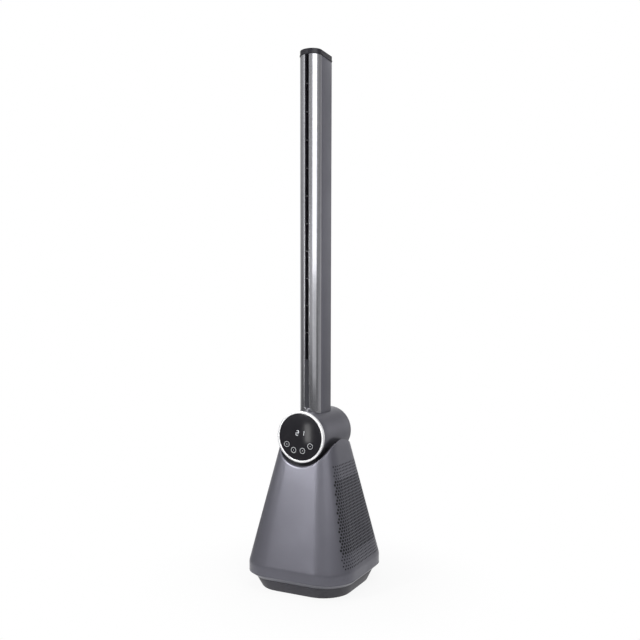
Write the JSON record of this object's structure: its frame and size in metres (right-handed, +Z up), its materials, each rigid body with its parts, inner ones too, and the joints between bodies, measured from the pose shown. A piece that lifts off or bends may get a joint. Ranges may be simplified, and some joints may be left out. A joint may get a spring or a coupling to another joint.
{
  "type": "bladeless fan",
  "caption": "Tall bladeless fan: tapered base with a blower on a turning foot, and a slotted column on a drum that swings in a saddle.",
  "frame": {"origin": "on the floor under the middle of the square base", "axes": "+Z up along the column, -Y towards the display and the outlet slot, +X to the viewer's right when the display faces the viewer"},
  "size_m": [0.2178, 0.2178, 1],
  "materials": {
    "body_plastic": "fine satin grain, grey with a violet cast",
    "foot_plastic": "fine matt grain, dark grey",
    "front_metallic": "satin metallic lacquer",
    "cap_plastic": "dark semi-gloss",
    "duct_plastic": "moulded, matt",
    "bearing_plastic": "natural acetal",
    "black_plastic": "moulded, matt",
    "display_glass": "back-printed dark glass, polished",
    "silver_trim": "turned and satin anodised",
    "steel": "zinc plated",
    "copper": "enamelled winding and laminations",
    "rotor_magnet": "ground",
    "board": "solder resist",
    "rubber": "matt"
  },
  "bodies": {
    "foot": {"foot_pan": "foot_plastic", "foot_pads": "rubber", "ballast_plate": "steel", "hub_gear": "bearing_plastic", "hub_screws": "steel", "slide_ring": "bearing_plastic", "thrust_washer": "steel", "retaining_ring": "steel", "dc_inlet": "black_plastic", "inlet_board": "board"},
    "body": {"chassis_tray": "body_plastic", "base_shell": "body_plastic", "grille_right": "body_plastic", "grille_left": "body_plastic", "saddle_cradle": "body_plastic", "main_board": "board", "small_screws": "steel", "shell_screws": "steel", "osc_motor": "steel", "isolators": "rubber", "blower_screws": "steel", "inlet_bell": "duct_plastic", "blower_housing": "duct_plastic", "diffuser": "duct_plastic", "motor_can": "steel", "motor_lid": "steel", "motor_stator": "copper", "motor_bearings": "steel", "riser_duct": "duct_plastic", "riser_gasket": "rubber", "neck_duct": "foot_plastic", "neck_screws": "steel", "cradle_screws": "steel", "drum_core": "foot_plastic", "bush_front": "bearing_plastic", "bush_rear": "bearing_plastic", "rear_cap": "foot_plastic", "display_ring": "silver_trim", "display_glass": "display_glass", "touch_board": "board", "digit_module": "black_plastic"},
    "pinion": {"osc_shaft": "steel", "osc_pinion": "bearing_plastic"},
    "rotor": {"impeller": "duct_plastic", "rotor_shaft": "steel", "motor_rotor": "rotor_magnet", "spinner_nut": "steel"},
    "head": {"drum_sleeve": "body_plastic", "column_front_cover": "front_metallic", "column_rear_cover": "body_plastic", "nozzle_lip_left": "cap_plastic", "nozzle_lip_right": "cap_plastic", "slot_ribs": "cap_plastic", "slot_strip": "body_plastic", "air_guide": "duct_plastic", "column_screws": "steel", "column_cap": "cap_plastic"}
  },
  "joints": [
    {"name": "oscillation", "type": "hinge", "parent": "foot", "child": "body", "pos_m": [0, 0, 0], "axis": [0, 0, 1], "range_deg": [-40, 40]},
    {"name": "pinion_spin", "type": "hinge", "parent": "body", "child": "pinion", "pos_m": [0, 0.05, 0], "axis": [0, 0, 1], "range_deg": [-165, 165]},
    {"name": "impeller_spin", "type": "hinge", "parent": "body", "child": "rotor", "pos_m": [0, 0, 0], "axis": [0, 0, 1], "continuous": true},
    {"name": "head_swing", "type": "hinge", "parent": "body", "child": "head", "pos_m": [0, 0, 0.293], "axis": [0, 1, 0], "range_deg": [-35, 35]}
  ],
  "couplings": [
    {"joint": "pinion_spin", "follows": "oscillation", "ratio": 4}
  ]
}
